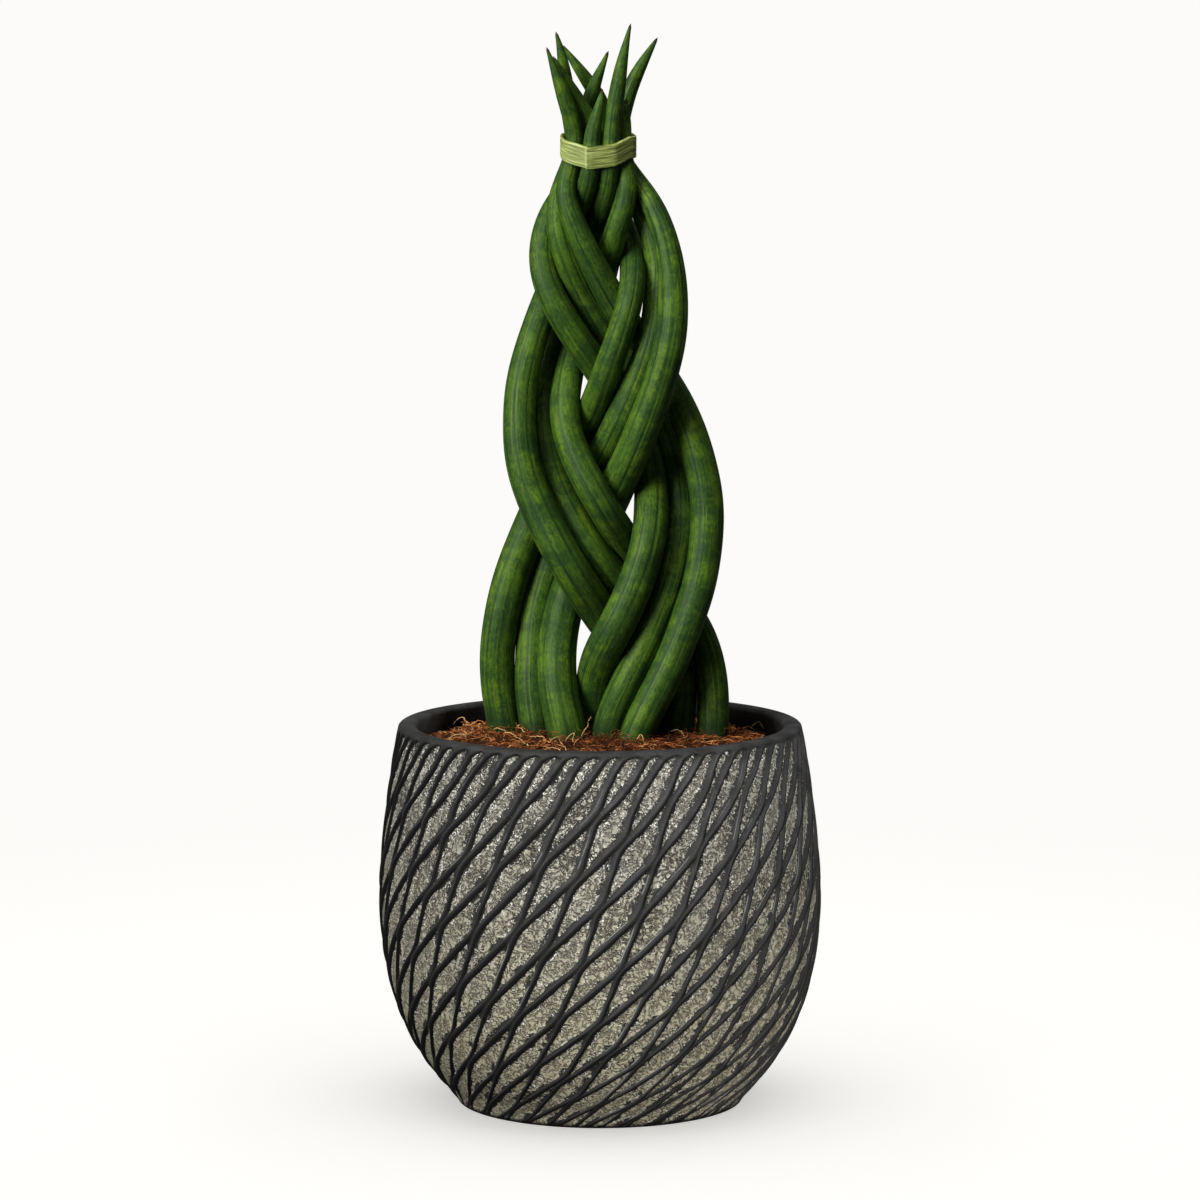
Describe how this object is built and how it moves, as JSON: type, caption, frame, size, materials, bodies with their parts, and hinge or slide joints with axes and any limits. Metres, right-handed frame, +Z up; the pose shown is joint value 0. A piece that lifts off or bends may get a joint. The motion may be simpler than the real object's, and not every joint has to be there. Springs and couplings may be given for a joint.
{
  "type": "cylindrical snake plant",
  "caption": "Upright cylindrical snake plant leaves plaited in three strands and tied below their tips, in a round pot carved with a net of slanting ridges and dressed with coir.",
  "frame": {"origin": "middle of the pot's foot, on the surface it stands on", "axes": "+Z up along the pot's axis, -Y towards the front, +X to the right"},
  "size_m": [0.2224, 0.2224, 0.5395],
  "materials": {
    "pot": "matte",
    "soil": "matte",
    "coir": "matte",
    "leaf": "satin",
    "raffia": "matte"
  },
  "bodies": {
    "root": {"pot": "pot", "potting_soil": "soil", "coir_dressing": "coir", "leaf_a1": "leaf", "leaf_a2": "leaf", "leaf_a3": "leaf", "leaf_b1": "leaf", "leaf_b2": "leaf", "leaf_b3": "leaf", "leaf_c1": "leaf", "leaf_c2": "leaf", "leaf_c3": "leaf", "raffia_tie": "raffia"}
  },
  "joints": []
}
